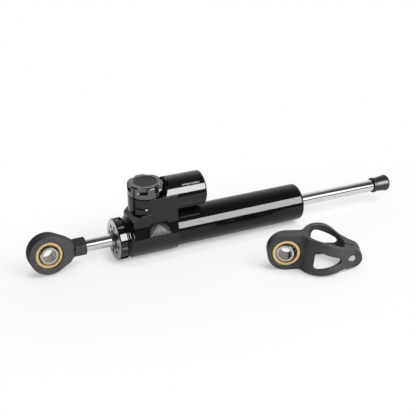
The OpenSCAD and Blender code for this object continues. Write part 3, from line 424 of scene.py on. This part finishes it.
# Adjuster knob: a turned and fluted aluminium cap in dark grey anodise, with a satin black dish on top.
# A grub screw fixes it to the spindle, and the pin in the boss below is its index mark.
def knob_finish():
    """Turned dark grey metal that goes over into satin black in the dish."""
    material = turned_metal("Dark knob anodise", KNOB_CENTRE, KNOB_AXIS, (0.120, 0.120, 0.122), (0.155, 0.155, 0.157),
                            polish=0.18, pitch=0.0005, edge=0.0006, cut=0.05)
    tree, shader = opened(material)
    black_begins, black_full, dish_depth = 0.0112, 0.0080, 0.0009
    top = (KNOB_CENTRE[0], 0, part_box("knob")[1].z)
    off = vectors(tree, "SUBTRACT", own_place(tree), top)
    from_axis = vectors(tree, "LENGTH", vectors(tree, "MULTIPLY", off, (1, 1, 0)))
    height = add_node(tree, "ShaderNodeSeparateXYZ", {0: off}).outputs[2]
    dish = maths(tree, "MULTIPLY", smooth(tree, from_axis, black_begins, black_full),
                 maths(tree, "GREATER_THAN", height, -dish_depth))
    satin = between(tree, place(tree, GRAIN, Fineness=0.6)["Tone"], 0.42, 0.56)
    wire(tree, shader, {
        "Base Color": over(tree, dish, fed_by(shader, "Base Color"), (0.006, 0.006, 0.0065)),
        "Metallic": maths(tree, "SUBTRACT", 1.0, dish), "IOR": 1.38,
        "Roughness": mixed(tree, dish, fed_by(shader, "Roughness"), satin)})
    return material


dress(knob_finish(), "knob")


# Damper rod: one ground and hard chromed steel bar that runs right through both glands.
# The grinding leaves almost no trace, only a very fine ring here and there.
def hard_chrome():
    """Mirror bright chrome with the faintest rings."""
    material, tree, shader = new_finish("Hard chrome")
    rings = place(tree, TURNED, Point=about_axis(tree, ROD_CENTRE, ROD_AXIS), Pitch=0.0006)
    film = place(tree, FILM, Smear=0.5, Dust=0.1)
    wire(tree, shader, {
        "Base Color": over(tree, rings["Tone"], (0.66, 0.67, 0.685), (0.74, 0.75, 0.765)), "Metallic": 1.0,
        "Roughness": between(tree, film["Film"], 0.03, 0.06),
        "Normal": bumped(tree, rings["Height"], strength=0.02, distance=0.00001)})
    return material


dress(hard_chrome(), "rod")

# Piston and its ring: a turned aluminium disc clipped to the rod, with a slippery guide ring in its groove.
# They run in the sleeve and are out of sight in the finished damper.
dress(turned_metal("Turned piston aluminium", ROD_CENTRE, ROD_AXIS, (0.55, 0.56, 0.57), (0.66, 0.67, 0.68),
                   polish=0.30, pitch=0.0003), "piston")


def filled_plastic():
    """Brown bearing plastic, a little waxy."""
    material, tree, shader = new_finish("Filled guide plastic")
    grain = place(tree, GRAIN, Fineness=0.7)
    film = place(tree, FILM, Smear=0.5, Dust=0.1)
    wire(tree, shader, {
        "Base Color": over(tree, grain["Tone"], (0.10, 0.075, 0.05), (0.16, 0.12, 0.08)), "IOR": 1.38,
        "Roughness": between(tree, film["Film"], 0.45, 0.32),
        "Normal": bumped(tree, grain["Height"], strength=0.1, distance=0.00004)})
    return material


dress(filled_plastic(), "piston_ring")


# Rod eye and lock nut: the eye is milled from aluminium plate, tumbled and anodised satin grey.
# Its rim keeps the rougher cut of the mill, and its colour is painted darker than the two faces as shade.
# The nut behind it locks the eye's thread on the rod. It is anodised with it, but glossier.
def grey_anodise(name, low, high, polish, tooth, edge, rim_tone=0.16, face_axis=None):
    """Dark grey hard anodise with a satin, blasted tooth. Walls along face_axis are rougher, and painted darker as
    shade.
    """
    material, tree, shader = new_finish(name)
    rim = place(tree, EDGES, Radius=edge, Wear=0.45)
    grain = place(tree, GRAIN, Fineness=1.0)
    film = place(tree, FILM, Smear=0.8, Dust=0.4)
    worn = over(tree, rim["Rim"], over(tree, grain["Tone"], low, high), (rim_tone, rim_tone, rim_tone * 1.02))
    skin = over(tree, film["Specks"], worn, (0.13, 0.13, 0.13))
    rough = between(tree, film["Film"], polish, polish - 0.08)
    if face_axis:
        wall_shade_tone, wall_roughness = 0.6, 0.34
        own_normal = add_node(tree, "ShaderNodeTexCoord").outputs["Normal"]
        facing = maths(tree, "ABSOLUTE", vectors(tree, "DOT_PRODUCT", own_normal, face_axis))
        shaded_rough_wall = add_node(tree, "ShaderNodeMapRange", {"Value": facing, "From Min": 0.9, "From Max": 0.5}).outputs[0]
        # Painted shade: walls are darkened to a share of the face's tone; their extra roughness is the mill's cut.
        skin = over(tree, shaded_rough_wall, skin, tuple(part * wall_shade_tone for part in low))
        rough = maths(tree, "MULTIPLY_ADD", shaded_rough_wall, wall_roughness, rough)
    wire(tree, shader, {
        "Base Color": skin, "IOR": 1.55, "Roughness": rough,
        "Normal": bumped(tree, grain["Height"], strength=tooth, distance=0.00004, Normal=rim["Normal"])})
    return material


EYE_CENTRE, EYE_ROLL = (0, 0, 0), math.radians(5.8)
EYE_AXIS = (0, math.cos(EYE_ROLL), -math.sin(EYE_ROLL))
dress(grey_anodise("Grey eye anodise", (0.023, 0.023, 0.024), (0.034, 0.034, 0.035), polish=0.56, tooth=0.14,
                   edge=0.0010, rim_tone=0.05, face_axis=EYE_AXIS), "rod_eye")
dress(grey_anodise("Grey nut anodise", (0.026, 0.026, 0.027), (0.040, 0.040, 0.041), polish=0.20, tooth=0.08,
                   edge=0.0005), "lock_nut")


# Bearing races: gold coloured outer rings, swaged into the eye and into the clamp.
# Their faces are turned, so fine rings show in the light.
def level_axis(degrees):
    """The Y axis, turned about the upright by some degrees."""
    return tuple(Matrix.Rotation(math.radians(degrees), 3, "Z") @ Vector((0, 1, 0)))


CLAMP_CENTRE = tuple((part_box("clamp_race")[0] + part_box("clamp_race")[1]) / 2)
CLAMP_AXIS = level_axis(-22)
for node, name, centre, axis in (("rod_race", "Gold rod race", EYE_CENTRE, EYE_AXIS),
                                 ("clamp_race", "Gold clamp race", CLAMP_CENTRE, CLAMP_AXIS)):
    dress(turned_metal(name, centre, axis, (0.74, 0.53, 0.23), (0.90, 0.71, 0.38), polish=0.31, pitch=0.0003,
                       edge=0.0004), node)

# Bearing liners: thin shells of bronze filled slippery fabric between race and ball.
# Each tilts in its race with the ball, and shows as a dull brown ring round it.
for node, name, centre, axis in (("rod_liner", "Bronze rod liner", EYE_CENTRE, EYE_AXIS),
                                 ("clamp_liner", "Bronze clamp liner", CLAMP_CENTRE, CLAMP_AXIS)):
    dress(turned_metal(name, centre, axis, (0.20, 0.11, 0.055), (0.32, 0.18, 0.09), polish=0.42, pitch=0.0005), node)


# Bearing balls: bored steel balls with flat faces, ground and polished, that take the mounting bolts.
# Each turns in its liner, and tilts with it in the race.
# The clamp's ball lies tipped, so its bore has an axis of its own.
def bored_ball(name, centre, axis):
    """Polished steel, duller where the reamer went through, and painted darker there as shade in the bore."""
    material = turned_metal(name, centre, axis, (0.50, 0.48, 0.45), (0.60, 0.58, 0.55), polish=0.12, pitch=0.0005,
                            edge=0.0004, cut=0.08)
    tree, shader = opened(material)
    bore_radius, spare, bore_roughness = 0.0050, 0.0002, 0.12
    from_axis = vectors(tree, "LENGTH", vectors(tree, "MULTIPLY", about_axis(tree, centre, axis), (1, 1, 0)))
    bore = maths(tree, "LESS_THAN", from_axis, bore_radius + spare)
    wire(tree, shader, {
        # Painted shade: the bore is darkened; its extra roughness is the reamer's.
        "Base Color": over(tree, bore, fed_by(shader, "Base Color"), (0.21, 0.19, 0.165)),
        "Roughness": maths(tree, "MULTIPLY_ADD", bore, bore_roughness, fed_by(shader, "Roughness"))})
    return material


dress(bored_ball("Polished rod ball", EYE_CENTRE, EYE_AXIS), "rod_ball")
dress(bored_ball("Polished clamp ball", CLAMP_CENTRE, level_axis(-33)), "clamp_ball")

# End cap: a soft rubber stop, pushed over the rod's tail.
# It is moulded with a waist, a rolled lip and a domed end, and has a satin bloom.
dress(moulded_rubber("Satin cap rubber", (0.008, 0.008, 0.0085), (0.015, 0.015, 0.0155), polish=0.32, fineness=0.8),
      "rubber_cap")

# Frame clamp: a split clamp milled from aluminium plate with a window through each side of its band.
# It is tumbled and anodised satin grey like the eye, and pinched by one cross screw of zinc plated steel.
dress(grey_anodise("Grey clamp anodise", (0.024, 0.024, 0.025), (0.034, 0.034, 0.035), polish=0.54, tooth=0.16,
                   edge=0.0010, rim_tone=0.05), "clamp_body")
dress(zinc_steel("Clamp screw steel", (0.55, 0.55, 0.545), (0.66, 0.66, 0.655), polish=0.26), "clamp_screw")


# Floor: a wide sheet of white card under the object, which ends a little in front of it.
# It shows the object's soft shadow near by, and runs out into the plain white background further off.
def card_floor():
    """The card, matt where the shadow falls and plain white to the camera and in mirrors further off."""
    level = cad_box[0][2]
    left, right, front, back = -1.2, 1.5, -0.215, 1.6
    shadow_middle, shadow_scale, shadow_ends = (0.15, -0.03, level), (1 / 0.20, 1 / 0.10, 0), (0.75, 1.45)
    sheet = bpy.data.meshes.new("card_floor")
    sheet.from_pydata([(left, front, level), (right, front, level), (right, back, level), (left, back, level)], [],
                      [(0, 1, 2, 3)])
    card = bpy.data.objects.new("card_floor", sheet)
    bpy.context.scene.collection.objects.link(card)
    material = bpy.data.materials.new("White card")
    material.use_nodes = True
    tree = material.node_tree
    tree.nodes.clear()
    off = vectors(tree, "SUBTRACT", own_place(tree), shadow_middle)
    fade = smooth(tree, vectors(tree, "LENGTH", vectors(tree, "MULTIPLY", off, shadow_scale)), *shadow_ends)
    # Painted contact shade: an occlusion mask cuts back the white close to the object, so the card darkens in the
    # crevices round it as well as in the lamps' own shadow.
    crevice = add_node(tree, "ShaderNodeAmbientOcclusion", {"Distance": 0.012}, samples=8).outputs["AO"]
    contact_shade_share = add_node(tree, "ShaderNodeMapRange", {
        "Value": crevice, "From Min": 0.60, "From Max": 0.95, "To Min": 0.35, "To Max": 0.72}).outputs[0]
    path = add_node(tree, "ShaderNodeLightPath").outputs
    mirrored = maths(tree, "MAXIMUM", path["Is Glossy Ray"], path["Is Transmission Ray"])
    in_mirror = maths(tree, "MULTIPLY", mirrored, fade)
    in_view = maths(tree, "MULTIPLY", path["Is Camera Ray"], mixed(tree, fade, contact_shade_share, 1.0))
    paper = add_node(tree, "ShaderNodeBsdfDiffuse", {"Color": (0.92, 0.92, 0.92, 1)})
    white = add_node(tree, "ShaderNodeEmission", {"Color": (1, 1, 1, 1), "Strength": 1.0})
    both = add_node(tree, "ShaderNodeMixShader", {
        "Fac": maths(tree, "MAXIMUM", in_mirror, in_view), 1: paper.outputs[0], 2: white.outputs[0]})
    add_node(tree, "ShaderNodeOutputMaterial", {"Surface": both.outputs[0]})
    sheet.materials.append(material)


card_floor()


# Light: a tall soft box at the front right, which only mirrors see, makes the white stripe along the tube.
# A weaker twin in the same place lights the bright metal, which the strong one would burn out.
# A broad soft lamp on the right throws the shadows to the left, and a weak one on the left fills them.
def soft_box(name, place_at, aim_at, width, height, watts, in_mirror=False, on_matt=False, lights_only=None):
    """A soft rectangular lamp, for mirrors or for matt surfaces, that may light some CAD nodes alone."""
    lamp = bpy.data.lights.new(name, "AREA")
    lamp.shape = "RECTANGLE"
    lamp.size, lamp.size_y, lamp.energy = width, height, watts
    box = bpy.data.objects.new(name, lamp)
    bpy.context.scene.collection.objects.link(box)
    box.location = place_at
    box.rotation_euler = (Vector(aim_at) - Vector(place_at)).to_track_quat("-Z", "Y").to_euler()
    box.visible_glossy, box.visible_diffuse = in_mirror, on_matt
    if lights_only:
        lit = bpy.data.collections.new(name + " lights")
        for node in lights_only:
            lit.objects.link(cad[node])
        box.light_linking.receiver_collection = lit


stripe_box = {"place_at": (0.60, -0.96, 0.57), "aim_at": (0.16, 0.0, 0.0), "width": 0.66, "height": 0.74}
bright_metal = ["rod", "rod_race", "clamp_race", "rod_ball", "clamp_ball", "index_pin", "clamp_screw"]
soft_box("front_box", **stripe_box, watts=30.0, in_mirror=True,
         lights_only=[node for node in cad if node not in bright_metal])
soft_box("bright_metal_box", **stripe_box, watts=2.4, in_mirror=True, lights_only=bright_metal)
soft_box("right_box", place_at=(0.78, -0.78, 1.10), aim_at=(0.15, -0.03, 0.0), width=1.0, height=1.0,
         watts=19.5, on_matt=True)
soft_box("left_fill", place_at=(-0.5, -0.9, 0.9), aim_at=(0.10, 0.0, 0.0), width=0.9, height=0.9,
         watts=5.0, on_matt=True)


# Room: a white sweep behind the object, which darkens to the sides, upwards and towards the viewer.
# The camera itself sees plain white.
def studio_room():
    """The world's light: brightest straight behind the object, and nearly dark in front of it."""
    straight_behind, narrowing, gain, darkest = (0.41, 0.91, 0.0), 2.0, 1.5, 0.08
    world = bpy.data.worlds.new("Studio room")
    bpy.context.scene.world = world
    world.use_nodes = True
    tree = world.node_tree
    tree.nodes.clear()
    look = add_node(tree, "ShaderNodeTexCoord").outputs["Generated"]
    behind = maths(tree, "MAXIMUM", vectors(tree, "DOT_PRODUCT", look, straight_behind), 0.0)
    sweep = maths(tree, "MULTIPLY_ADD", maths(tree, "POWER", behind, narrowing), gain, darkest)
    in_view = add_node(tree, "ShaderNodeLightPath").outputs["Is Camera Ray"]
    strength = mixed(tree, in_view, maths(tree, "MINIMUM", sweep, 1.0), 1.0)
    room = add_node(tree, "ShaderNodeBackground", {"Color": (1, 1, 1, 1), "Strength": strength})
    add_node(tree, "ShaderNodeOutputWorld", {"Surface": room.outputs[0]})


studio_room()
bpy.context.scene.view_settings.view_transform = "Standard"

# Camera: a long lens a little above and to the left of the object, level, as in the photograph.
# The frame is taken as square, and the lens is given for a 36 mm wide picture.
turn, rise = math.radians(-24.3), math.radians(27.1)
aside, above, distance = 0.12257, 0.03463, 0.754
right = Vector((math.cos(turn), math.sin(turn), 0))
back = Vector((math.sin(turn) * math.cos(rise), -math.cos(turn) * math.cos(rise), math.sin(rise)))
up = back.cross(right)
seat = right * aside + up * above + back * distance
lens = bpy.data.cameras.new("photo_camera")
lens.lens, lens.sensor_width, lens.sensor_fit = 85.41, 36.0, "HORIZONTAL"
lens.clip_start, lens.clip_end = 0.01, 20.0
camera = bpy.data.objects.new("photo_camera", lens)
bpy.context.scene.collection.objects.link(camera)
camera.matrix_world = Matrix.Translation(seat) @ Matrix((right, up, back)).transposed().to_4x4()
bpy.context.scene.camera = camera
